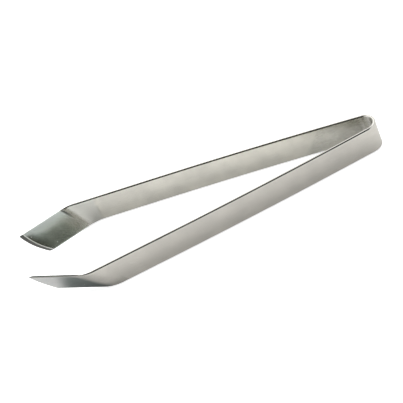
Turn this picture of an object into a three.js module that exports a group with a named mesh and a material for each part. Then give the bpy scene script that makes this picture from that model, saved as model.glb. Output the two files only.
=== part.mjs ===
// Stamp tongs: one stainless steel strip, folded round a small bow into two springy arms.
// Each arm ends in a broad blade that is cranked inwards across an oblique crease, so that the
// two blade ends meet flat when the arms are squeezed.
//
// The tongs rest on the strip's lower edge, in the plane z = 0. +X runs from the blades to the
// bow, +Y from the front arm to the back arm, and the origin is halfway along the length.
//
// The strip is one piece of steel. It is cut into solids where it changes its job: the bow with
// a short leg on each side, and in each arm the spring leg, the grip, the crank and the blade.

import * as THREE from 'three';

// Driving dimensions, in millimetres and radians.
const stripWidth = 10;
const stripThickness = 1;
const cutGap = 0.3;

const bowCentreX = 56;
const bowRadius = 3.5; // to the middle of the strip's thickness
const legSplay = THREE.MathUtils.degToRad(9.4); // each leg to the centre line, at the bow
const legTurn = THREE.MathUtils.degToRad(2.6); // how far the bowed leg turns back inwards
const curvedLegLength = 72;

const creaseAt = 101.7; // from the crown to the crease, along the strip's middle
const creaseAngle = THREE.MathUtils.degToRad(56); // between the crease and the strip's length
const crankAngle = THREE.MathUtils.degToRad(36.4);
const crankRadius = 7; // to the middle of the strip's thickness, at mid-width
const crankTaper = 0.2; // the bend tightens by this much for each mm up along the crease
const crankReach = 4.3; // from the crease to either end of the cranked stretch

const bladeReach = 15.55; // from the crease to the blade's end, square to the crease
const bladeBulge = 0.67; // how far the end's curve stands out at mid-width
const bladeWedge = 0.45; // ground off the blade's inner side at its top edge, none at its foot
const shoulder = 0.6; // how far past the end of the bend the grinding reaches its full depth
const bevelLength = 1.05; // ground on the inner side of the blade's end
const bladeLip = 0.2; // thickness left at the very end

const bowEnd = 6.5; // from the crown to either end of the bow
const flexAt = 19.5; // from the crown to the place where the arm turns when squeezed
const gripFrom = 42;
const gripTo = 78;

const steel = { color: 0xbdbcb6, roughness: 0.35, metalness: 1 };

const bowArc = bowRadius * (Math.PI / 2 - legSplay);
const legRadius = curvedLegLength / legTurn;
const middle = stripWidth / 2;
const creaseHalf = middle / Math.sin(creaseAngle);
const halfGap = cutGap / 2;

// The strip's centre line, seen from above. s is the distance from the crown: positive on the
// back arm and negative on the front arm. Returns the point and the outward normal's angle.
function centreLine(s) {
  const side = Math.sign(s);
  const travel = Math.abs(s);
  if (travel <= bowArc) {
    const angle = travel / bowRadius;
    return place(bowRadius * Math.cos(angle), bowRadius * Math.sin(angle), angle, side);
  }
  const curved = Math.min(travel - bowArc, curvedLegLength);
  const straight = travel - bowArc - curved;
  const slope = legSplay - curved / legRadius;
  const x = bowRadius * Math.sin(legSplay)
    - legRadius * (Math.sin(legSplay) - Math.sin(slope))
    - straight * Math.cos(slope);
  const y = bowRadius * Math.cos(legSplay)
    + legRadius * (Math.cos(slope) - Math.cos(legSplay))
    + straight * Math.sin(slope);
  return place(x, y, Math.PI / 2 - slope, side);
}

function place(x, y, normalAngle, side) {
  return {
    x: bowCentreX + x,
    y: side < 0 ? -y : y,
    normalX: Math.cos(normalAngle),
    normalY: side < 0 ? -Math.sin(normalAngle) : Math.sin(normalAngle),
  };
}

// Where a line parallel to the crease, at the distance past from it, crosses the height z.
function alongAt(past, z) {
  return creaseAt + (past + (z - middle) * Math.cos(creaseAngle)) / Math.sin(creaseAngle);
}

// Where a point of the straight strip lies past the crease and up along it, and the radius of
// the bend at that height.
function aboutCrease(travel, z) {
  const sin = Math.sin(creaseAngle);
  const cos = Math.cos(creaseAngle);
  const past = (travel - creaseAt) * sin - (z - middle) * cos;
  const up = (travel - creaseAt) * cos + (z - middle) * sin;
  const height = THREE.MathUtils.clamp(up, -creaseHalf, creaseHalf);
  return { past, up, radius: crankRadius - crankTaper * height };
}

// How deep the inner side is ground at a point: a wedge that starts where the bend ends.
function groundOff(travel, z) {
  const { past, radius } = aboutCrease(travel, z);
  const bendEnd = radius * (crankAngle - Math.tan(crankAngle / 2));
  const share = THREE.MathUtils.clamp((past - bendEnd) / shoulder, 0, 1);
  return bladeWedge * share * (z / stripWidth);
}

// Rolls a point of the straight strip inwards round the crease, as a press tool does. out is
// the distance from the middle of the thickness, positive outwards. The bend starts one set
// back before the crease, so that the flat blade lies in a plane through the crease.
function crank({ travel, z, out }) {
  const sin = Math.sin(creaseAngle);
  const cos = Math.cos(creaseAngle);
  const { past, up, radius } = aboutCrease(travel, z);
  const setBack = radius * Math.tan(crankAngle / 2);
  const rolled = past + setBack;
  if (rolled <= 0) {
    return { travel, z, out };
  }
  const angle = Math.min(rolled / radius, crankAngle);
  const beyond = Math.max(rolled - radius * crankAngle, 0);
  const pastNow = (radius + out) * Math.sin(angle) + beyond * Math.cos(angle) - setBack;
  return {
    travel: creaseAt + pastNow * sin + up * cos,
    z: middle - pastNow * cos + up * sin,
    out: (radius + out) * Math.cos(angle) - radius - beyond * Math.sin(angle),
  };
}

// A closed solid of the strip between stations. A station gives the distance from the crown
// at each height, and lip, the thickness there; arm is 1 for the back arm and -1 for the front.
function stripSolid(stations, widthSteps, arm) {
  const steps = stations.length - 1;
  const geometry = new THREE.BoxGeometry(1, 1, 1, steps, 1, widthSteps);
  const corners = geometry.attributes.position;
  for (let i = 0; i < corners.count; i += 1) {
    const station = stations[Math.round((corners.getX(i) + 0.5) * steps)];
    const z = (corners.getZ(i) + 0.5) * stripWidth;
    const outer = arm * corners.getY(i) < 0;
    const travel = station.along(z);
    const wedge = groundOff(travel, z);
    const inner = Math.max(stripThickness / 2 - station.lip, wedge - stripThickness / 2);
    const flat = { travel, z, out: outer ? stripThickness / 2 : inner };
    const folded = crank(flat);
    const line = centreLine(arm * folded.travel);
    corners.setXYZ(
      i,
      line.x + folded.out * line.normalX,
      line.y + folded.out * line.normalY,
      folded.z,
    );
  }
  geometry.computeVertexNormals();
  return geometry;
}

function squareCut(travel) {
  return { along: () => travel, lip: stripThickness };
}

function obliqueCut(past) {
  return { along: (z) => alongAt(past, z), lip: stripThickness };
}

// The blade's end line is parallel to the crease and bulges a little at mid-width.
function bladeCut(setBack, lip) {
  const bulge = (z) => bladeBulge * (1 - ((z - middle) / middle) ** 2);
  return { along: (z) => alongAt(bladeReach + bulge(z) - setBack, z), lip };
}

function evenly(from, to, steps, cut) {
  return Array.from({ length: steps + 1 }, (_, i) => cut(from + ((to - from) * i) / steps));
}

function namedMesh(name, geometry, home) {
  geometry.translate(-home.x, -home.y, 0);
  const mesh = new THREE.Mesh(geometry, new THREE.MeshStandardMaterial(steel));
  mesh.name = name;
  return mesh;
}

// The U of the closed end, and the short leg that it passes into on each side.
function buildBow() {
  const crown = { x: 0, y: 0 };
  const arc = evenly(-bowArc, bowArc, 28, squareCut);
  const bowStations = [squareCut(-bowEnd), ...arc, squareCut(bowEnd)];
  const legStations = evenly(bowEnd + cutGap, flexAt - halfGap, 2, squareCut);
  const group = new THREE.Group();
  group.add(
    namedMesh('spring_bow', stripSolid(bowStations, 1, 1), crown),
    namedMesh('front_bow_leg', stripSolid(legStations, 1, -1), crown),
    namedMesh('back_bow_leg', stripSolid(legStations, 1, 1), crown),
  );
  return group;
}

// One arm, as a group that stands at the place where it turns.
function buildArm(name, arm) {
  const home = centreLine(arm * flexAt);
  const legStations = evenly(flexAt + halfGap, gripFrom - halfGap, 4, squareCut);
  const gripStations = [
    ...evenly(gripFrom + halfGap, gripTo, 5, squareCut),
    obliqueCut(-crankReach - halfGap),
  ];
  const crankStations = evenly(-crankReach + halfGap, crankReach - halfGap, 26, obliqueCut);
  const bladeStations = [
    obliqueCut(crankReach + halfGap),
    bladeCut(bevelLength, stripThickness),
    bladeCut(0, bladeLip),
  ];
  const group = new THREE.Group();
  group.position.set(home.x, home.y, 0);
  group.add(
    namedMesh(`${name}_spring_leg`, stripSolid(legStations, 1, arm), home),
    namedMesh(`${name}_grip`, stripSolid(gripStations, 1, arm), home),
    namedMesh(`${name}_crank`, stripSolid(crankStations, 6, arm), home),
    namedMesh(`${name}_blade`, stripSolid(bladeStations, 8, arm), home),
  );
  return group;
}

const tongs = new THREE.Group();
tongs.add(buildBow(), buildArm('front', -1), buildArm('back', 1));

export default tongs;
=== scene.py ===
# %% [markdown]
# # Stamp tongs: one strip of steel, folded and ground
# The tongs are a single strip of stainless spring steel. A press bends it round a small bow,
# cranks both ends inwards across a slanting crease, and a wheel grinds the two ends thin.
# This notebook makes the strip the same way: a straight blank first, then the bends as sums
# on its points, so every stretch of it is the same tree with other numbers.
#
# The frame comes first. It is the finished design, in metres, and nothing here moves it.

# %% Load the frame
import math

import bpy
from mathutils import Matrix, Vector


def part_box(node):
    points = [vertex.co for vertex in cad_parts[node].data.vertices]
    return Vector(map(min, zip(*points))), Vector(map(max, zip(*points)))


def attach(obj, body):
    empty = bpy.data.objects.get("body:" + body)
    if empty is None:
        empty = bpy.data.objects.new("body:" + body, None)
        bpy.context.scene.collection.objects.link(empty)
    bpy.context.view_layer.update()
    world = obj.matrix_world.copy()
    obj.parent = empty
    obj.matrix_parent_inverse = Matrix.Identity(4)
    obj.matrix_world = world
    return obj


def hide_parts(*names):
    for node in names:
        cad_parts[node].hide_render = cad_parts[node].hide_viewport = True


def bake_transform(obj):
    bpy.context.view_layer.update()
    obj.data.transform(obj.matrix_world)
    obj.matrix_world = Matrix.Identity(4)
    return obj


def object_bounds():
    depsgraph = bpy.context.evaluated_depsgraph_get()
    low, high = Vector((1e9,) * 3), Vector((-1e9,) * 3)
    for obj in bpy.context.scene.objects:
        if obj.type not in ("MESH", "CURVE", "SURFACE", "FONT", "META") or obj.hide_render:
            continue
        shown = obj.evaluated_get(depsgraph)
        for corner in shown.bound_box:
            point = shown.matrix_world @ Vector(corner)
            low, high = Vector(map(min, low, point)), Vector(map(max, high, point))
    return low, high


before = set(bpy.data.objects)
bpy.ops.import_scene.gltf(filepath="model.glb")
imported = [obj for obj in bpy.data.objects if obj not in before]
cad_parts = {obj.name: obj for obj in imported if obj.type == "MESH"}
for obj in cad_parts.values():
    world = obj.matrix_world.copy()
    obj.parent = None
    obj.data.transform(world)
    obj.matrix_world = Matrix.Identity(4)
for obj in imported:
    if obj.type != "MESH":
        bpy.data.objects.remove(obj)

cad_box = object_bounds()
print("CAD box in mm:", [[round(c * 1000, 1) for c in corner] for corner in cad_box])

# %% [markdown]
# A camera first, so that each later step can be looked at. It is a long lens about 60 cm
# away, above and in front of the tongs, and it is rolled about a quarter of a right angle,
# which lays the tongs across the picture from the lower left to the upper right.

# %% Camera
mm = 0.001
strip_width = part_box("spring_bow")[1][2]


def turned(azimuth, elevation, roll):
    """The camera's right, up and backward directions, for angles in degrees."""
    azimuth, elevation, roll = map(math.radians, (azimuth, elevation, roll))
    flat = math.cos(elevation)
    back = Vector((math.sin(azimuth) * flat, -math.cos(azimuth) * flat, math.sin(elevation)))
    level = Vector((math.cos(azimuth), math.sin(azimuth), 0))
    upright = back.cross(level)
    right = math.cos(roll) * level + math.sin(roll) * upright
    return right, back.cross(right), back


def make_camera(aim, distance, angles, lens):
    data = bpy.data.cameras.new("camera")
    data.lens = lens
    data.clip_end = 10
    camera = bpy.data.objects.new("camera", data)
    axes = turned(*angles)
    camera.matrix_world = (
        Matrix.Translation(aim + axes[2] * distance)
        @ Matrix([axes[0], axes[1], axes[2]]).transposed().to_4x4()
    )
    bpy.context.collection.objects.link(camera)
    bpy.context.scene.camera = camera
    return camera


aim = Vector((-1.02 * mm, -0.27 * mm, strip_width / 2))
camera = make_camera(aim, distance=617 * mm, angles=(3.37, 41.97, -24.37), lens=172)
print("camera at", [round(c, 3) for c in camera.matrix_world.translation])

# %% [markdown]
# Node trees are easier to read as sums than as boxes and wires. `Sum` wraps one socket of a
# tree, so that `a * b + 1` adds the two math nodes that it needs. Geometry trees and
# material trees share the same math node, so one class serves both.

# %% Sums in node trees


class Sum:
    """A number in a node tree, which adds the math nodes that its sums need."""

    def __init__(self, tree, socket):
        self.tree, self.socket = tree, socket

    def math(self, operation, *others):
        node = self.tree.nodes.new("ShaderNodeMath")
        node.operation = operation
        for slot, value in zip(node.inputs, (self, *others)):
            feed(self.tree, slot, value)
        return Sum(self.tree, node.outputs[0])

    def __add__(self, other):
        return self.math("ADD", other)

    def __sub__(self, other):
        return self.math("SUBTRACT", other)

    def __mul__(self, other):
        return self.math("MULTIPLY", other)

    def __truediv__(self, other):
        return self.math("DIVIDE", other)

    def __neg__(self):
        return self.math("MULTIPLY", -1.0)

    def sin(self):
        return self.math("SINE")

    def cos(self):
        return self.math("COSINE")

    def tan(self):
        return self.math("TANGENT")

    def size(self):
        return self.math("ABSOLUTE")

    def sign(self):
        return self.math("SIGN")

    def root(self):
        return self.math("SQRT")

    def power(self, other):
        return self.math("POWER", other)

    def at_least(self, other):
        return self.math("MAXIMUM", other)

    def at_most(self, other):
        return self.math("MINIMUM", other)

    def is_near(self, other, within):
        return self.math("COMPARE", other, within)

    def ramp(self, low, high):
        """Rises smoothly from 0 at low to 1 at high."""
        node = add(self.tree, "ShaderNodeMapRange", {"interpolation_type": "SMOOTHSTEP"})
        feed(self.tree, node.inputs["Value"], self)
        feed(self.tree, node.inputs["From Min"], low)
        feed(self.tree, node.inputs["From Max"], high)
        return Sum(self.tree, node.outputs[0])


steps = [name for name in vars(Sum) if not name.startswith("_")]
print("steps of a Sum:", ", ".join(steps))

# %% [markdown]
# Four helpers go with it. `feed` fills an input with whatever it is given, `add` makes a node
# with its options and inputs, and the other two take a vector apart and build one.

# %% Helpers for node trees


def feed(tree, slot, value):
    """Puts a number, a socket or a Sum into an input socket."""
    if isinstance(value, Sum):
        value = value.socket
    if isinstance(value, bpy.types.NodeSocket):
        tree.links.new(value, slot)
    else:
        slot.default_value = value


def add(tree, kind, settings=None, **inputs):
    """Adds a node. Settings are its options, and inputs go by name, with _ for a space."""
    node = tree.nodes.new(kind)
    for name, value in (settings or {}).items():
        setattr(node, name, value)
    for name, value in inputs.items():
        feed(tree, node.inputs[name.replace("_", " ")], value)
    return node


def parts_of(tree, vector):
    """The x, y and z of a vector socket, as Sums."""
    split = add(tree, "ShaderNodeSeparateXYZ", Vector=vector)
    return [Sum(tree, socket) for socket in split.outputs]


def joined(tree, x, y, z):
    return add(tree, "ShaderNodeCombineXYZ", X=x, Y=y, Z=z).outputs[0]


helpers = (feed, add, parts_of, joined)
print("helpers:", ", ".join(helper.__name__ for helper in helpers))

# %% [markdown]
# The strip's own sizes. The width comes from the frame, the bends are the press tool's
# angles and radii, and distances along the strip count from the crown of the bow. The radii
# of the bends run to the middle of the strip's thickness.

# %% Driving sizes: the strip and its bends
thickness = 1.0 * mm
edge_radius = 0.45 * mm

bow_radius = 3.5 * mm
bow_x = cad_box[1][0] - bow_radius - thickness / 2
leg_splay = math.radians(9.4)  # each leg to the centre line, at the bow
leg_turn = math.radians(2.6)  # how far the bowed leg turns back inwards
curved_leg = 72 * mm

crease_at = 101.7 * mm
crease_angle = math.radians(56)  # between the crease and the strip's length
crank_angle = math.radians(36.4)
crank_radius = 7.0 * mm
crank_taper = 0.2  # the bend tightens by this much for each mm up along the crease
print("bow centre at x =", round(bow_x / mm, 2), "mm")

# %% [markdown]
# The rest of the sizes say where one stretch of the strip ends and the next begins, and what
# the wheel grinds off the blades. Distances past the crease are square to it.

# %% Driving sizes: the stretches and the grinding
bow_end = 6.5 * mm
flex_at = 19.5 * mm  # where the arm turns when it is squeezed
grip_from = 42 * mm
crank_reach = 4.3 * mm  # from the crease to either end of the cranked stretch

blade_reach = 15.55 * mm
blade_bulge = 0.67 * mm  # how far the end's curve stands out at mid-width
blade_wedge = 0.45 * mm  # ground off at the blade's top edge, and nothing at its foot
run_in = 4.5 * mm  # the wheel sinks in over this length, up to the end of the bend
shoulder = 0.6 * mm  # and over this length past it the ground face's edges turn sharp
ground_edge = 0.06 * mm
bevel_length = 1.05 * mm
blade_lip = 0.2 * mm  # thickness left at the very end
arris_round = 0.12  # how soft the bevel starts, as a share of its depth
end_round = 0.05 * mm
print("strip length:", round(2 * (crease_at + blade_reach / math.sin(crease_angle)) / mm), "mm")

# %% [markdown]
# The folding tree. It makes a straight blank with eased edges, each end cut square or along
# a slant, grinds the end if a bevel is asked for, rolls the blank round the slanting crease,
# and last lays it along the bow and the bowed leg. It could be made with curves and lattices,
# but a press bend is a short formula, and as a formula the bends stay exact.
#
# Three helpers first: one starts a tree with named inputs, one stores a value on the points
# under a name, and one reads it back.

# %% Helpers for the folding tree


def new_tree(name, inputs):
    tree = bpy.data.node_groups.new(name, "GeometryNodeTree")
    tree.interface.new_socket(
        name="Strip", in_out="OUTPUT", socket_type="NodeSocketGeometry"
    )
    for label, (kind, value) in inputs.items():
        socket = tree.interface.new_socket(
            name=label, in_out="INPUT", socket_type=f"NodeSocket{kind}"
        )
        if value is not None:
            socket.default_value = value
    given = tree.nodes.new("NodeGroupInput")
    sums = {s.name: Sum(tree, s) for s in given.outputs if s.name}
    return tree, sums


def keep(tree, mesh, name, kind, value):
    """Stores a value on the points, under a name that a material can read."""
    node = add(tree, "GeometryNodeStoreNamedAttribute", {"data_type": kind, "domain": "POINT"})
    feed(tree, node.inputs["Geometry"], mesh)
    feed(tree, node.inputs["Name"], name)
    feed(tree, node.inputs["Value"], value)
    return node.outputs[0]


def named(tree, name, kind):
    node = add(tree, "GeometryNodeInputNamedAttribute", {"data_type": kind}, Name=name)
    return node.outputs["Attribute"]


print("helpers:", ", ".join(helper.__name__ for helper in (new_tree, keep, named)))

# %% [markdown]
# The blank is a rectangle with rounded corners, swept along a straight line. The wide sides
# need many points, because the crease crosses them at a slant, and the narrow ones only a few.

# %% The straight blank
corner_steps = 5
width_cuts = 26.0
narrow_cuts = 3.0


def eased_section(tree, size):
    """A rectangle with rounded corners and extra points along its sides."""
    flat = add(
        tree,
        "GeometryNodeCurvePrimitiveQuadrilateral",
        Width=size["Thickness"],
        Height=size["Width"],
    )
    rounded = add(
        tree,
        "GeometryNodeFilletCurve",
        {"mode": "POLY"},
        Curve=flat.outputs[0],
        Count=corner_steps,
        Radius=size["Edge Radius"],
    )
    index = Sum(tree, tree.nodes.new("GeometryNodeInputIndex").outputs[0])
    place = index.math("MODULO", 2.0 * (corner_steps + 1))
    wide = place.is_near(2 * corner_steps + 1, 0.1) * width_cuts
    narrow = place.is_near(corner_steps, 0.1) * narrow_cuts
    cut = add(
        tree, "GeometryNodeSubdivideCurve", Curve=rounded.outputs[0], Cuts=wide + narrow
    )
    return cut.outputs[0]


def straight_blank(tree, size):
    """The section run along X from 0 to 1, closed at both ends."""
    line = add(tree, "GeometryNodeCurvePrimitiveLine", End=(1, 0, 0))
    stations = add(
        tree,
        "GeometryNodeResampleCurve",
        Curve=line.outputs[0],
        Count=size["Stations"],
    )
    blank = add(
        tree,
        "GeometryNodeCurveToMesh",
        Curve=stations.outputs[0],
        Profile_Curve=eased_section(tree, size),
        Fill_Caps=True,
    )
    return blank.outputs[0]


section_points = 4 * (corner_steps + 1) + 2 * int(width_cuts + narrow_cuts)
print("points round the section:", section_points)

# %% [markdown]
# The crease slants across the strip, so two measures serve better than along and across: how
# far a point lies past the crease, and how far up along it. The bend is a little tighter at
# the top, so the place where it ends depends on the height.

# %% Measures about the crease


def past_crease(size, travel, across):
    """How far a flat point lies beyond the slanting crease, square to it."""
    sine, cosine = size["Crease Angle"].sin(), size["Crease Angle"].cos()
    return (travel - size["Crease At"]) * sine - across * cosine


def along_crease(size, travel, across):
    """How far up a flat point lies along the crease, from mid-width."""
    sine, cosine = size["Crease Angle"].sin(), size["Crease Angle"].cos()
    return (travel - size["Crease At"]) * cosine + across * sine


def bend_radius(size, up):
    """The bend tightens a little upwards."""
    limit = size["Width"] / 2.0 / size["Crease Angle"].sin()
    return size["Crank Radius"] - size["Crank Taper"] * up.at_least(-limit).at_most(limit)


def past_bend(size, travel, across):
    """How far a flat point lies beyond the end of the bend."""
    radius = bend_radius(size, along_crease(size, travel, across))
    bend_end = radius * (size["Crank Angle"] - (size["Crank Angle"] / 2.0).tan())
    return past_crease(size, travel, across) - bend_end


bend_end = crank_radius * (crank_angle - math.tan(crank_angle / 2))
print("the bend ends", round(bend_end / mm, 2), "mm past the crease, at mid-width")

# %% [markdown]
# The press cuts the strip to length, square between two stretches of a leg and parallel to
# the crease at the crank and the tip. The tip's line bulges a little.

# %% Cutting to length


def cut_to_length(size, share, across):
    """Where a point lies along the strip, and how far it is from the far end."""
    half = size["Width"] / 2.0
    slant = across / size["Crease Angle"].tan()
    bulge = size["Bulge"] * (-(across / half).power(2.0) + 1.0)
    bulge = bulge / size["Crease Angle"].sin()
    start = size["From"] + size["From Slant"] * slant
    stop = size["To"] + size["To Slant"] * slant + bulge
    # The stations crowd together towards a ground end, where the shape changes fastest.
    eased = -(-share + 1.0).power(size["Crowding"]) + 1.0
    travel = start + (stop - start) * eased
    return travel, (stop - travel) * size["Crease Angle"].sin()


print("the tip stands out", round(blade_bulge / mm, 2), "mm at mid-width")

# %% [markdown]
# A wheel grinds the inner side of each blade. It sinks in over the bend, deepest at the top
# edge, takes the rounded edges off the face, and last puts a short bevel on the end. Each of
# these is a step that moves the points of the blank, so the same mesh serves every stretch,
# and a stretch that is not ground passes through unchanged.

# %% Grinding


def sharpened(place, half, old, new):
    """Moves a point of the eased section to where it lies with a smaller edge radius."""
    flat = half - old
    on_flat = place.size().at_most(flat) * ((half - new) / flat)
    on_corner = (place.size() - flat).at_least(0.0) * (new / old)
    return (on_flat + on_corner) * place.sign()


def sharp_ground_edges(size, reached, out, across):
    """From the bend's end the wheel takes the inner face's rounded edges off."""
    sharp = reached.ramp(0.0, size["Shoulder"]) * out.math("LESS_THAN", 0.0)
    worn = (size["Edge Radius"] - size["Ground Edge"]) * sharp
    radius = size["Edge Radius"] - worn
    across = sharpened(across, size["Width"] / 2.0, size["Edge Radius"], radius)
    return sharpened(out, size["Thickness"] / 2.0, size["Edge Radius"], radius), across


def ground_floor(size, reached, across, to_end):
    """Where the inner face lies once it is ground, from the middle of the thickness."""
    sunk = reached.ramp(-size["Run In"], 0.0)
    wedge = size["Wedge"] * (across / (size["Width"] / 2.0) + 1.0) / 2.0 * sunk
    inner = wedge - size["Thickness"] / 2.0
    # The bevel starts at the same distance from the end all across, and leaves a thin lip.
    bevel = (-to_end / size["Bevel Length"] + 1.0).math("SMOOTH_MAX", 0.0, size["Arris"])
    at_lip = size["Thickness"] / 2.0 - size["Lip"]
    return inner + (at_lip - inner) * bevel * size["Free End"]


def sunk_to(size, floor, out):
    """The inner face sinks to the floor, the outer one stays, and the edges follow."""
    depth = (floor / size["Thickness"] + 0.5).at_least(0.0)
    return out + (size["Thickness"] / 2.0 - out) * depth


def rounded_end(size, floor, out, across, to_end):
    """Draws the last bit of the tip in, towards the middle of the steel that is left."""
    centre = (floor + size["Thickness"] / 2.0) / 2.0
    half_left = size["Thickness"] / 2.0 - centre
    missing = (-to_end / size["End Round"] + 1.0).at_least(0.0)
    rounding = -(-(missing * missing) + 1.0).at_least(0.0).root() + 1.0
    inset = size["End Round"] * rounding
    out = centre + (out - centre) * (-inset / half_left + 1.0)
    return out, across * (-inset / (size["Width"] / 2.0) + 1.0)


def cut_and_ground(size, share, out, across):
    """The blank's flat coordinates once its ends are cut and the tip is ground."""
    travel, _ = cut_to_length(size, share, across)
    reached = past_bend(size, travel, across)
    out, across = sharp_ground_edges(size, reached, out, across)
    travel, to_end = cut_to_length(size, share, across)
    floor = ground_floor(size, reached, across, to_end)
    out, across = rounded_end(size, floor, sunk_to(size, floor, out), across, to_end)
    return travel, out, across, to_end


print("steel left at the blade's top edge:", round((thickness - blade_wedge) / mm, 2), "mm")

# %% [markdown]
# The crank. A press tool rolls the strip inwards round the crease, and the blade beyond the
# bend stays flat. The bend starts a set-back before the crease, so that the flat blade lies
# in a plane through it.

# %% Cranking


def cranked(size, travel, out, across):
    """Rolls the flat strip inwards round the slanting crease."""
    sine = size["Crease Angle"].sin()
    cosine = size["Crease Angle"].cos()
    past = past_crease(size, travel, across)
    up = along_crease(size, travel, across)
    radius = bend_radius(size, up)
    set_back = radius * (size["Crank Angle"] / 2.0).tan()
    rolled = past + set_back
    angle = (rolled / radius).at_least(0.0).at_most(size["Crank Angle"])
    beyond = (rolled - radius * size["Crank Angle"]).at_least(0.0)
    swing = radius + out
    past_now = rolled.at_most(0.0) + swing * angle.sin() + beyond * angle.cos() - set_back
    return (
        size["Crease At"] + past_now * sine + up * cosine,
        swing * angle.cos() - radius - beyond * angle.sin(),
        up * sine - past_now * cosine,
    )


print("the bend takes", round(crank_radius * crank_angle / mm, 2), "mm of strip")

# %% [markdown]
# The bow. Last the strip is laid along its line as seen from above: half of the small bow, a
# long and nearly straight curve, and a straight rest.

# %% Laying the strip round the bow


def laid_round_the_bow(tree, size, side, travel, out, across):
    """Where a cranked point of the strip ends up. Side is -1 in front and 1 behind."""
    splay = size["Leg Splay"]
    bow_arc = size["Bow Radius"] * (-splay + math.pi / 2)
    leg_radius = size["Curved Leg"] / size["Leg Turn"]
    angle = travel.at_most(bow_arc) / size["Bow Radius"]
    curved = (travel - bow_arc).at_least(0.0).at_most(size["Curved Leg"])
    straight = (travel - bow_arc - size["Curved Leg"]).at_least(0.0)
    slope = splay - curved / leg_radius
    normal = angle + curved / leg_radius
    x = (
        size["Bow Radius"] * angle.cos()
        - leg_radius * (splay.sin() - slope.sin())
        - straight * slope.cos()
        + out * normal.cos()
    )
    y = (
        size["Bow Radius"] * angle.sin()
        + leg_radius * (slope.cos() - splay.cos())
        + straight * slope.sin()
        + out * normal.sin()
    )
    return joined(tree, size["Bow X"] + x, y * side, across + size["Width"] / 2.0)


bow_arc = bow_radius * (math.pi / 2 - leg_splay)
print("the bow's curve takes", round(2 * bow_arc / mm, 1), "mm of strip")

# %% [markdown]
# Now the tree itself. The blank's flat coordinates are stored on its points as `strip`: x
# along, y outwards, z across. The finishes read them later, because grinding marks follow the
# steel, not the room. Four more measures go with them, for the finish of the crank and blade.
#
# A sharp corner is left sharp and the rest is shaded smooth, so the eased edges look round.

# %% The folding tree
sharp_corner = math.radians(40)
no_round = 1e-7  # not quite zero, because the tree divides by it
tree_inputs = {
    "Width": ("Float", strip_width),
    "Thickness": ("Float", thickness),
    "Edge Radius": ("Float", edge_radius),
    "Bow X": ("Float", bow_x),
    "Bow Radius": ("Float", bow_radius),
    "Leg Splay": ("Float", leg_splay),
    "Leg Turn": ("Float", leg_turn),
    "Curved Leg": ("Float", curved_leg),
    "Crease At": ("Float", crease_at),
    "Crease Angle": ("Float", crease_angle),
    "Crank Angle": ("Float", crank_angle),
    "Crank Radius": ("Float", crank_radius),
    "Crank Taper": ("Float", crank_taper),
    "From": ("Float", 0.0),
    "To": ("Float", 0.01),
    "From Slant": ("Float", 0.0),
    "To Slant": ("Float", 0.0),
    "Bulge": ("Float", 0.0),
    "Bevel Length": ("Float", bevel_length),
    "Lip": ("Float", thickness),
    "Wedge": ("Float", 0.0),
    "Shoulder": ("Float", shoulder),
    "Run In": ("Float", run_in),
    "Ground Edge": ("Float", edge_radius),
    "Arris": ("Float", arris_round),
    "End Round": ("Float", no_round),
    "Free End": ("Float", 0.0),
    "Crowding": ("Float", 1.0),
    "Arm": ("Float", 1.0),
    "Stations": ("Int", 40),
    "Finish": ("Material", None),
}


def store_measures(tree, size):
    """The cut and ground blank's measures, stored on the points of the straight blank."""
    here = tree.nodes.new("GeometryNodeInputPosition").outputs[0]
    share, blank_out, blank_across = parts_of(tree, here)
    travel, out, across, to_end = cut_and_ground(size, share, blank_out, blank_across)
    flat = joined(tree, travel * size["Arm"], out, across)
    kept = keep(tree, straight_blank(tree, size), "strip", "FLOAT_VECTOR", flat)
    # A stretch that another one follows has its end far away, so no tip finish shows on it.
    kept = keep(tree, kept, "to_end", "FLOAT", to_end - size["Free End"] + 1.0)
    kept = keep(tree, kept, "past_crease", "FLOAT", past_crease(size, travel, across))
    kept = keep(tree, kept, "inner_side", "FLOAT", blank_out.math("LESS_THAN", 0.0))
    return keep(tree, kept, "past_bend", "FLOAT", past_bend(size, travel, across))


def shade(tree, mesh):
    """Smooth, except at the sharp corners."""
    smooth = add(tree, "GeometryNodeSetShadeSmooth", Geometry=mesh)
    steep = Sum(tree, tree.nodes.new("GeometryNodeInputMeshEdgeAngle").outputs[0])
    creased = add(
        tree,
        "GeometryNodeSetShadeSmooth",
        {"domain": "EDGE"},
        Geometry=smooth.outputs[0],
        Selection=steep.math("GREATER_THAN", sharp_corner),
        Shade_Smooth=False,
    )
    return creased.outputs[0]


def folding_tree():
    tree, size = new_tree("folded_strip", tree_inputs)
    kept = store_measures(tree, size)
    travel, out, across = parts_of(tree, named(tree, "strip", "FLOAT_VECTOR"))
    side = travel.sign()
    travel, out, across = cranked(size, travel.size(), out, across)
    folded = add(
        tree,
        "GeometryNodeSetPosition",
        Geometry=kept,
        Position=laid_round_the_bow(tree, size, side, travel, out, across),
    )
    # The blank's faces point inwards. The front arm, a mirror image, turns them outwards by
    # itself, and on every other stretch they are flipped.
    unmirrored = size["Arm"].math("GREATER_THAN", 0.0)
    faced = add(
        tree, "GeometryNodeFlipFaces", Mesh=folded.outputs[0], Selection=unmirrored
    )
    shaded = shade(tree, faced.outputs[0])
    real = add(tree, "GeometryNodeRealizeInstances", Geometry=shaded)
    finished = add(
        tree, "GeometryNodeSetMaterial", Geometry=real.outputs[0], Material=size["Finish"]
    )
    tree.links.new(finished.outputs[0], tree.nodes.new("NodeGroupOutput").inputs[0])
    return tree


strip_tree = folding_tree()
print("folding tree:", len(strip_tree.nodes), "nodes")

# %% [markdown]
# Now the finishes. Rolled and tumbled steel is never one flat colour: it has fine lines that
# run along the strip from the rolls, soft clouds where the polish varies, hairline scratches,
# and narrow edges that were sheared, so they are duller than the faces. Each of these is one
# shader node group with its own inputs, and both finishes below use them with other values.
#
# The groups read `strip`, in millimetres, so a scratch keeps its place when the arms move.

# %% Helpers for the shader groups
groups = {}


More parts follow.
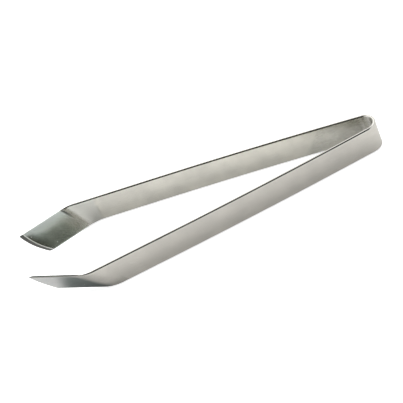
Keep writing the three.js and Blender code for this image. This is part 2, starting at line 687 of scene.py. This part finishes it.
def new_group(name, inputs, outputs):
    tree = bpy.data.node_groups.new(name, "ShaderNodeTree")
    for label, value in inputs.items():
        socket = tree.interface.new_socket(
            name=label, in_out="INPUT", socket_type="NodeSocketFloat"
        )
        socket.default_value = value
    for label in outputs:
        tree.interface.new_socket(name=label, in_out="OUTPUT", socket_type="NodeSocketFloat")
    given = tree.nodes.new("NodeGroupInput")
    sums = {s.name: Sum(tree, s) for s in given.outputs if s.name}
    return tree, sums, tree.nodes.new("NodeGroupOutput")


def on_strip(tree):
    """Along, out and across on the flat strip, in millimetres."""
    place = add(tree, "ShaderNodeAttribute", {"attribute_name": "strip"}).outputs["Vector"]
    return [part / mm for part in parts_of(tree, place)]


def cloud(tree, along, out, across, detail, roughness):
    """Noise from 0 to 1. The three places are already scaled to the size of its blobs."""
    noise = add(
        tree,
        "ShaderNodeTexNoise",
        Vector=joined(tree, along, out, across),
        Scale=1.0,
        Detail=detail,
        Roughness=roughness,
    )
    return Sum(tree, noise.outputs["Fac"])


print("helpers:", ", ".join(helper.__name__ for helper in (new_group, on_strip, cloud)))

# %% [markdown]
# Roll lines are a noise that is stretched far along the strip and squeezed across it. The
# wheel's lines on the blades are the same noise, turned.

# %% Roll lines


def roll_lines_group():
    """Fine lines along the strip, as the rolls and the polishing belt leave them."""
    tree, given, result = new_group(
        "roll_lines", {"Lines Per mm": 7.0, "Length mm": 9.0, "Turn": 0.0}, ["Lines"]
    )
    along, out, across = on_strip(tree)
    turn = given["Turn"]
    lengthways = along * turn.cos() + across * turn.sin()
    sideways = across * turn.cos() - along * turn.sin()
    fine = given["Lines Per mm"]
    lines = cloud(tree, lengthways / given["Length mm"], out * fine, sideways * fine, 5.0, 0.65)
    feed(tree, result.inputs["Lines"], lines.ramp(0.28, 0.72))
    return tree


groups["lines"] = roll_lines_group()
print("lines:", len(groups["lines"].nodes), "nodes")

# %% [markdown]
# Soft marks come in three sizes: clouds nearly as broad as the strip, stains about a third as
# large, and pin pricks, which are the middles of scattered cells.

# %% Soft marks


def soft_marks_group():
    """Clouds in the polish, a few dull stains, and pin pricks."""
    tree, given, result = new_group(
        "soft_marks", {"Cloud mm": 7.0, "Stain Amount": 0.3}, ["Cloud", "Stain", "Prick"]
    )
    along, out, across = on_strip(tree)
    size = given["Cloud mm"]
    blobs = cloud(tree, along / size, out / size, across / size, 4.0, 0.55)
    small = size / 3.5
    spots = cloud(tree, along / small, out / small + 9.0, across / small, 6.0, 0.7)
    amount = given["Stain Amount"]
    low = -amount * 0.3 + 0.66
    feed(tree, result.inputs["Cloud"], blobs.ramp(0.3, 0.7))
    feed(tree, result.inputs["Stain"], spots.ramp(low, low + 0.16))
    cells = add(
        tree, "ShaderNodeTexVoronoi", Vector=joined(tree, along, out, across), Scale=0.33
    )
    dot = Sum(tree, cells.outputs["Distance"]).ramp(0.075, 0.03)
    feed(tree, result.inputs["Prick"], dot)
    return tree


groups["marks"] = soft_marks_group()
print("marks:", len(groups["marks"].nodes), "nodes")

# %% [markdown]
# Hairlines are only the highest crests of a stretched noise, so they come out thin, short and
# far apart. Two directions cross, as a tool gets scratched from both sides.

# %% Hairlines


def hairlines_group():
    """Sparse scratches in two slanting directions, from use and from being put away."""
    tree, given, result = new_group(
        "hairlines", {"Slant": 0.35, "Length mm": 5.0, "Amount": 0.5}, ["Scratch"]
    )
    along, out, across = on_strip(tree)
    both = None
    for direction, shift in ((1.0, 0.0), (-1.7, 31.0)):
        slant = given["Slant"] * direction
        lengthways = along * slant.cos() + across * slant.sin()
        sideways = across * slant.cos() - along * slant.sin()
        lines = cloud(
            tree, lengthways / given["Length mm"] + shift, out * 3.0, sideways * 6.0, 1.0, 0.5
        )
        low = -given["Amount"] * 0.12 + 0.74
        lines = lines.ramp(low, low + 0.05)
        both = lines if both is None else both.at_least(lines)
    feed(tree, result.inputs["Scratch"], both)
    return tree


groups["scratch"] = hairlines_group()
print("scratch:", len(groups["scratch"].nodes), "nodes")

# %% [markdown]
# The narrow edges were sheared. A mask from the distance to mid-width finds them, and a small
# jitter keeps the mask from ending in a ruled line.

# %% Sheared edges


def sheared_edge_group():
    """1 on the two narrow edges of the strip, and a band for a painted highlight along its
    corners.
    """
    tree, given, result = new_group(
        "sheared_edge", {"Width mm": 10.0, "Band mm": 0.45}, ["Narrow", "Corner"]
    )
    along, out, across = on_strip(tree)
    inside = given["Width mm"] / 2.0 - across.size()
    jitter = cloud(tree, along * 0.8, out * 2.0, across * 2.0, 3.0, 0.6) - 0.5
    inside = inside + jitter * 0.12
    band = given["Band mm"]
    narrow = inside.ramp(band, band * 0.35)
    corner = inside.ramp(band * 2.6, band) * (-narrow + 1.0)
    feed(tree, result.inputs["Narrow"], narrow)
    feed(tree, result.inputs["Corner"], corner)
    return tree


groups["edge"] = sheared_edge_group()
print("edge:", len(groups["edge"].nodes), "nodes")

# %% [markdown]
# A finish mixes the masks into a colour, a roughness and a height. The colour of steel is a
# tint on its mirror, so the steps between light and dark stay small. `Finish` holds what both
# steels need: a metal material, the groups, a way to tint, and the last three links.

# %% What every finish needs


class Finish:
    """A material and the few things that every steel here needs."""

    def __init__(self, name):
        self.material = bpy.data.materials.new(name)
        self.material.use_nodes = True
        self.tree = self.material.node_tree
        self.shader = self.tree.nodes["Principled BSDF"]
        self.shader.inputs["Metallic"].default_value = 1.0

    def use(self, group, **inputs):
        node = self.tree.nodes.new("ShaderNodeGroup")
        node.node_tree = groups[group]
        for name, value in inputs.items():
            feed(self.tree, node.inputs[name.replace("_", " ")], value)
        return {socket.name: Sum(self.tree, socket) for socket in node.outputs}

    def tint(self, below, above, amount):
        """From one colour to another as amount goes from 0 to 1."""
        mix = self.tree.nodes.new("ShaderNodeMix")
        mix.data_type = "RGBA"
        mix.clamp_factor = True
        slots = {s.identifier: s for s in mix.inputs}
        feed(self.tree, slots["Factor_Float"], amount)
        for slot, colour in (("A_Color", below), ("B_Color", above)):
            colour = (*colour, 1.0) if isinstance(colour, tuple) else colour
            feed(self.tree, slots[slot], colour)
        return next(s for s in mix.outputs if s.identifier == "Result_Color")

    def set(self, colour, roughness, height, depth):
        feed(self.tree, self.shader.inputs["Base Color"], colour)
        feed(self.tree, self.shader.inputs["Roughness"], roughness)
        bump = add(self.tree, "ShaderNodeBump", Strength=1.0, Distance=depth, Height=height)
        feed(self.tree, self.shader.inputs["Normal"], bump.outputs[0])


def stored(finish, name, unit=mm):
    """A number that the folding tree stored on the points, in millimetres as a rule."""
    node = add(finish.tree, "ShaderNodeAttribute", {"attribute_name": name})
    return Sum(finish.tree, node.outputs["Fac"]) / unit


print("a finish can:", ", ".join(name for name in vars(Finish) if not name.startswith("_")))

# %% [markdown]
# `satin_steel` is the tumbled strip. Its inner faces have a warm, slightly yellow cast. The
# steel inside the bow is mottled, and painted darker as shade where the arms face each other
# close to the bow. A few paler cross bands lie there too, and a patch of scale lies beside
# them. Short of the crease a faint, slightly bowed line shows where the press tool
# held the strip.
#
# A fade goes from 0 at its first place to 1 at its second, in millimetres.

# %% Marks on the satin
mottled_fade = (24.6, 22.4)
band_fade = (8.0, 5.0)
band_rate = 2.2
scale_at = (8.6, 3.0)
scale_reach = (2.6, 1.7)
held_fade = (95.6, 97.0)
tool_line_fades = ((95.5, 96.0), (97.0, 96.2))
tool_line_bow = 0.7


def bow_marks(travel, across, marks, dull):
    """Masks for the mottled patch with its painted shade, the paler cross bands and the scale.
    """
    # The mottled patch ends in a slanting line, a fifth of the way down the arms.
    mottled = (travel + across * 0.6 + marks["Cloud"]).ramp(*mottled_fade)
    bands = (travel * band_rate + dull["Cloud"]).cos().ramp(-0.2, 1.0)
    along_patch = (travel - scale_at[0]) / scale_reach[0]
    across_patch = (across - scale_at[1]) / scale_reach[1]
    scale = along_patch.power(2.0) + across_patch.power(2.0)
    scale = (scale + (dull["Cloud"] - 0.5) * 0.6).ramp(1.3, 0.2)
    return mottled, bands * travel.ramp(*band_fade), scale


def tool_marks(travel, across, marks):
    """Masks for the stretch that the press tool held, and for the line where it began."""
    from_middle = across / (strip_width / mm / 2)
    place = travel + from_middle.power(2.0) * tool_line_bow + (marks["Cloud"] - 0.5) * 0.5
    rise, fall = tool_line_fades
    return place.ramp(*held_fade), place.ramp(*rise) * place.ramp(*fall)


print("mottled up to", mottled_fade[0], "mm, tool line at", held_fade[0], "mm from the crown")

# %% [markdown]
# The satin itself: each mark tints what lies below it by its own small amount.

# %% Satin steel
outer_steel = (0.662, 0.640, 0.585)
inner_steel = (0.782, 0.765, 0.690)
held_steel = (0.600, 0.605, 0.570)
cloudy_steel = (0.500, 0.490, 0.455)
line_steel = (0.430, 0.425, 0.400)
shaded_mottled_steel = (0.560, 0.558, 0.522)
stained_steel = (0.330, 0.325, 0.270)
sheared_steel = (0.350, 0.345, 0.320)
bright_steel = (0.800, 0.790, 0.760)
satin_roughness = 0.17
bump_depth = 0.004 * mm


def satin(finish):
    """The satin look's colour, roughness and height, for either steel."""
    along, _, across = on_strip(finish.tree)
    travel = along.size()
    lines = finish.use("lines", Lines_Per_mm=7.0, Length_mm=9.0)
    marks = finish.use("marks", Cloud_mm=7.0, Stain_Amount=0.25)
    dull = finish.use("marks", Cloud_mm=4.5, Stain_Amount=0.8)
    scratch = finish.use("scratch", Slant=0.3, Length_mm=6.0, Amount=0.5)
    edge = finish.use("edge", Width_mm=strip_width / mm, Band_mm=edge_radius / mm)
    inside = stored(finish, "inner_side", 1.0)
    mottled, bands, scale = (
        mask * inside for mask in bow_marks(travel, across, marks, dull)
    )
    held, tool_line = (mask * inside for mask in tool_marks(travel, across, marks))

    colour = finish.tint(outer_steel, inner_steel, inside)
    for tint, amount in (
        (cloudy_steel, marks["Cloud"] * 0.35),
        (line_steel, lines["Lines"] * 0.16),
        # painted shade between the arms near the bow, with mottling
        (shaded_mottled_steel, mottled * (dull["Cloud"] * 0.35 + 0.3)),
        (stained_steel, dull["Stain"] * mottled * 0.12),
        (bright_steel, bands * 0.8),
        (stained_steel, scale * 0.4),
        (stained_steel, marks["Stain"] * 0.12),
        (held_steel, held * 0.7),
        (stained_steel, tool_line * marks["Cloud"] * 0.35),
        (bright_steel, scratch["Scratch"] * 0.3),
        (sheared_steel, edge["Narrow"] * 0.8),
        # painted highlight just inside the rounded edges
        (bright_steel, edge["Corner"] * 0.1),
    ):
        colour = finish.tint(colour, tint, amount)

    roughness = lines["Lines"] * 0.05 + marks["Cloud"] * 0.03 + satin_roughness
    roughness = roughness + mottled * 0.06 + marks["Stain"] * 0.05 - edge["Narrow"] * 0.1
    height = lines["Lines"] * 0.5 - scratch["Scratch"] * 0.5
    return colour, roughness, height


satin_finish = Finish("satin_steel")
satin_finish.set(*satin(satin_finish), bump_depth)
satin_steel = satin_finish.material
print("satin_steel:", len(satin_finish.tree.nodes), "nodes")

# %% [markdown]
# `ground_steel` is for the crank and the blade. It starts as the same satin on the leg's side
# of the crease, and past the bend it turns into a darker, slightly green mirror with lines
# from the wheel running up the blade. The grinding starts sharply at the top of the crease
# and runs out softly at its foot. Outside, where nothing is ground, the bend and the blade
# get painted shade, deepest at the crease's foot, with painted light towards the tip.

# %% Masks about the blade
wheel_turn = math.radians(62)


def blade_masks(place, wander):
    """Masks for the blade, for the side that faces out, and for the crease's painted shade and
    highlight.
    """
    inside, across, bend = place["inside"], place["across"], place["bend"]
    outside = -inside + 1.0
    upper = across.ramp(-1.0, 4.0)
    lag = -upper + 1.0
    soften = lag * 1.6 + 0.2
    edge_of_bend = bend + wander * lag - lag * 0.9
    blade = edge_of_bend.ramp(-soften, soften) * inside
    start = across * 0.3 + 1.9
    # where the painted shade on the outer side starts, past the crease
    painted_shade_start = (place["past"] + wander).ramp(start - 1.5, start + 1.5)
    return {
        "blade": blade.at_least(painted_shade_start * outside),
        "outside": outside,
        # At its foot the crease gets a painted highlight, and at its top a painted dark shade
        # line.
        "corner": bend.ramp(-0.25, 0.1) * bend.ramp(0.8, 0.35) * upper * inside,
        "foot": bend.ramp(-2.5, 0.5) * bend.ramp(5.0, 1.5) * lag * inside,
    }


def low_painted_shade_mask(place, outside):
    """Painted shade around the bend, darker towards the strip's lower edge."""
    past, across = place["past"], place["across"]
    within = past.ramp(-3.5, 1.5) * across.ramp(4.0, -2.0) * place["inside"] * 0.3
    return within + past.ramp(-9.0, -1.0) * across.ramp(-1.0, -4.4) * outside * 0.5


print("wheel lines turned by", round(math.degrees(wheel_turn)), "degrees")

# %% [markdown]
# The blade's colours. Inside, a paler band along the top, which narrows towards the end, is a
# painted reflection. At the very end the wheel heated the thin steel, which left an olive tint,
# and the bevel is painted darker as shade, with a painted highlight where it starts.

# %% Colours of the blade
ground_dark = (0.470, 0.525, 0.490)
ground_low = (0.330, 0.378, 0.350)
painted_reflection_steel = (0.590, 0.640, 0.605)
painted_shade_steel = (0.150, 0.180, 0.170)
painted_deep_shade_steel = (0.055, 0.065, 0.062)
painted_light_steel = (0.500, 0.500, 0.490)
olive_steel = (0.060, 0.060, 0.042)
painted_shade_bevel_steel = (0.120, 0.120, 0.113)


def inner_shine(finish, place, wander, wheel):
    """The ground face, darker towards the end, with a painted reflection band along its top."""
    past, across = place["past"], place["across"]
    # painted reflection: a paler band along the top, narrowing towards the end
    painted_reflection_band = (across + wander - past.ramp(9.5, 13.5) * 1.8).ramp(0.1, 2.5)
    shine = finish.tint(ground_dark, ground_low, past.ramp(4.0, 11.0))
    return finish.tint(shine, painted_reflection_steel, painted_reflection_band * 0.7 + wheel["Lines"] * 0.1)


def outer_painted_shade(finish, place, wander):
    """Painted shade outside, deepest at the foot of the crease, painted light towards the tip,
    and a painted highlight along the top edge.
    """
    past, across = place["past"], place["across"]
    painted_shade = finish.tint(painted_shade_steel, painted_deep_shade_steel, (across + past * 0.35).ramp(2.5, -3.5))
    painted_shade = finish.tint(painted_shade, painted_light_steel, (past + across * 0.79 + wander).ramp(7.4, 12.8))
    # painted highlight along the outer top edge
    return finish.tint(painted_shade, painted_light_steel, across.ramp(3.2, 4.2) * 0.5)


def tip_masks(place, wander):
    """Masks for the heated steel, the bevel's painted shade, and the painted highlight where
    the bevel starts.
    """
    to_end, across = place["to_end"], place["across"]
    heated = (-across.ramp(3.0, 4.4) * 0.8 + 1.0) * (across.ramp(-4.6, -1.0) * 0.75 + 0.25)
    burnt = (to_end + wander * 0.8).ramp(4.2, 0.8) * heated
    start = bevel_length / mm
    bevel = to_end.ramp(start, start - 0.12)
    painted_bevel_highlight = to_end.ramp(start + 0.3, start + 0.1) * (-bevel + 1.0)
    return [mask * place["inside"] for mask in (burnt, bevel, painted_bevel_highlight)]


print("the bevel's finish starts", round(bevel_length / mm, 2), "mm from the end")

# %% [markdown]
# The ground steel puts these over the satin. The masks follow `past_crease`, `past_bend` and
# `to_end`, which the folding tree stored.

# %% Ground steel
dark_steel = (0.240, 0.240, 0.215)
crease_painted_shade = (0.070, 0.072, 0.060)
ground_roughness = 0.10


def ground(finish):
    colour, roughness, height = satin(finish)
    place = {
        "across": on_strip(finish.tree)[2],
        "past": stored(finish, "past_crease"),
        "bend": stored(finish, "past_bend"),
        "to_end": stored(finish, "to_end"),
        "inside": stored(finish, "inner_side", 1.0),
    }
    wheel = finish.use("lines", Lines_Per_mm=9.0, Length_mm=3.0, Turn=wheel_turn)
    marks = finish.use("marks", Cloud_mm=4.0, Stain_Amount=0.35)
    edge = finish.use("edge", Width_mm=strip_width / mm, Band_mm=0.42)
    wander = (marks["Cloud"] - 0.5) * 0.3
    masks = blade_masks(place, wander)
    burnt, bevel, painted_bevel_highlight = tip_masks(place, wander)

    shine = inner_shine(finish, place, wander, wheel)
    for tint, amount in (
        # painted shade and light on the outer side
        (outer_painted_shade(finish, place, wander), masks["outside"] * 0.9),
        (olive_steel, burnt * 0.9),
        (bright_steel, marks["Prick"] * 0.5),
        # the bevel painted darker as shade, with a painted highlight where it starts
        (painted_shade_bevel_steel, bevel * 0.9),
        (bright_steel, painted_bevel_highlight * 0.95),
        (dark_steel, edge["Narrow"] * masks["outside"]),
    ):
        shine = finish.tint(shine, tint, amount)

    for tint, amount in (
        # painted shade near the bend, darker towards the bottom
        (dark_steel, low_painted_shade_mask(place, masks["outside"])),
        (shine, masks["blade"]),
        # painted highlight at the foot of the crease, and painted shade in its top corner
        (bright_steel, masks["foot"] * 0.35),
        (crease_painted_shade, masks["corner"] * 0.85),
    ):
        colour = finish.tint(colour, tint, amount)

    polish = wheel["Lines"] * 0.05 + marks["Cloud"] * 0.03 + ground_roughness
    polish = polish + bevel * 0.12 + marks["Prick"] * 0.2
    relief = wheel["Lines"] * 0.6 - marks["Prick"] * 1.5
    roughness = roughness + (polish - roughness) * masks["blade"]
    height = height + (relief - height) * masks["blade"]
    return colour, roughness, height


ground_finish = Finish("ground_steel")
ground_finish.set(*ground(ground_finish), bump_depth)
ground_steel = ground_finish.material
print("ground_steel:", len(ground_finish.tree.nodes), "nodes")

# %% [markdown]
# One stretch of the strip is one piece. `stretch` runs the tree with its own numbers, takes
# the result as a plain mesh, and drops the modifier. The bow comes first: it is the U of the
# closed end, and the arms hang on it.

# %% The bow


def stretch(name, **inputs):
    start = bpy.data.objects.new(name, bpy.data.meshes.new(name))
    bpy.context.collection.objects.link(start)
    modifier = start.modifiers.new("fold", "NODES")
    modifier.node_group = strip_tree
    wanted = {"Finish": satin_steel, **{k.replace("_", " "): v for k, v in inputs.items()}}
    for socket in strip_tree.interface.items_tree:
        if socket.in_out == "INPUT" and socket.name in wanted:
            modifier[socket.identifier] = wanted[socket.name]
    graph = bpy.context.evaluated_depsgraph_get()
    mesh = bpy.data.meshes.new_from_object(start.evaluated_get(graph), depsgraph=graph)
    mesh.name = name
    start.modifiers.remove(modifier)
    start.data = mesh
    print(name, len(mesh.polygons), "faces")
    return start


bow = stretch("strip_bow", From=-bow_end, To=bow_end, Stations=90)
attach(bow, "bow")
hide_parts("spring_bow")

# %% [markdown]
# Each arm is five stretches: a bow leg, a spring leg, the grip, the crank and the blade. On
# the real tongs nothing turns: the legs bend. Here both legs stay where they are laid, and the
# other three ride on the arm.

# %% The arms
cranked_inputs = {
    "From_Slant": 1.0,
    "To_Slant": 1.0,
    "Wedge": blade_wedge,
    "Ground_Edge": ground_edge,
    "Finish": ground_steel,
}
tip_inputs = {
    "Bulge": blade_bulge,
    "Bevel_Length": bevel_length,
    "Lip": blade_lip,
    "End_Round": end_round,
    "Free_End": 1.0,
    "Crowding": 1.6,
}


def along_at(past):
    """Distance from the crown of a line that is parallel to the crease, at mid-width."""
    return crease_at + past / math.sin(crease_angle)


def bends_with(piece):
    """Bakes the leg's placement into its mesh."""
    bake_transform(piece)


for side, arm in (("front", -1.0), ("back", 1.0)):
    body = f"{side}_arm"
    bow_leg = stretch(f"{side}_strip_bow_leg", From=bow_end, To=flex_at, Arm=arm, Stations=30)
    leg = stretch(f"{side}_strip_leg", From=flex_at, To=grip_from, Arm=arm, Stations=50)
    bends_with(bow_leg)
    bends_with(leg)
    crank_from, crank_to = along_at(-crank_reach), along_at(crank_reach)
    grip = stretch(
        f"{side}_strip_grip", From=grip_from, To=crank_from, To_Slant=1.0, Arm=arm, Stations=90
    )
    crank = stretch(
        f"{side}_strip_crank",
        From=crank_from,
        To=crank_to,
        Arm=arm,
        Stations=110,
        **cranked_inputs,
    )
    blade = stretch(
        f"{side}_strip_blade",
        From=crank_to,
        To=along_at(blade_reach),
        Arm=arm,
        Stations=90,
        **cranked_inputs,
        **tip_inputs,
    )
    for piece in (grip, crank, blade):
        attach(piece, body)
    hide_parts(f"{side}_bow_leg")
    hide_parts(f"{side}_spring_leg")
    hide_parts(f"{side}_grip")
    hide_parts(f"{side}_crank")
    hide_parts(f"{side}_blade")

# %% [markdown]
# The tongs lie on white paper. It is plain and matt, and so bright to the camera that the
# tongs stand free on it, as on a light table. It glows for the camera only, so the steel
# still reflects it as ordinary paper.

# %% Paper
paper_reach = 3.0
paper_low = cad_box[0][2] - 0.02 * mm


def make_paper():
    material = bpy.data.materials.new("white_paper")
    material.use_nodes = True
    tree = material.node_tree
    shader = tree.nodes["Principled BSDF"]
    shader.inputs["Base Color"].default_value = (0.9, 0.9, 0.9, 1)
    shader.inputs["Roughness"].default_value = 0.9
    shader.inputs["Emission Color"].default_value = (1, 1, 1, 1)
    for_camera = Sum(tree, add(tree, "ShaderNodeLightPath").outputs["Is Camera Ray"])
    feed(tree, shader.inputs["Emission Strength"], for_camera * 0.6)
    return material


corners = [(-1, -1), (1, -1), (1, 1), (-1, 1)]
sheet = bpy.data.meshes.new("paper")
sheet.from_pydata(
    [(x * paper_reach, y * paper_reach, paper_low) for x, y in corners], [], [(0, 1, 2, 3)]
)
sheet.materials.append(make_paper())
paper = bpy.data.objects.new("paper", sheet)
bpy.context.collection.objects.link(paper)
print("paper at z =", round(paper_low / mm, 2), "mm")

# %% [markdown]
# Steel looks like what it mirrors, so the light is a white tent all round it instead of
# lamps. The tent is brighter higher up and open towards the camera. That dark opening is what
# draws the thin dark lines along the rounded edges. The tent is one formula of direction on
# the world's background, which is soft, has no noise, and needs no lamp to be placed.

# %% Light tent
tent_foot = 0.72
tent_rise = 2.55
dark_front = 0.02

world = bpy.data.worlds.new("tent")
world.use_nodes = True
sky = world.node_tree
looking = sky.nodes.new("ShaderNodeTexCoord").outputs["Generated"]
to_right, to_back, upwards = parts_of(sky, looking)
beside = to_right.size().ramp(0.42, 0.62)
behind = to_back.ramp(0.25, 0.5)
brightness = upwards.at_least(0.0) * tent_rise + tent_foot
glow = beside.at_least(behind) * brightness + dark_front
feed(sky, sky.nodes["Background"].inputs["Color"], joined(sky, glow, glow, glow))
bpy.context.scene.world = world
bpy.context.scene.view_settings.view_transform = "Standard"
print("tent from", tent_foot, "at the foot to", tent_foot + tent_rise, "overhead")

# %% [markdown]
# The look has to keep the design's size. The strip's edges are eased inwards from the
# design's square ones, so the visible tongs are never larger than the design.
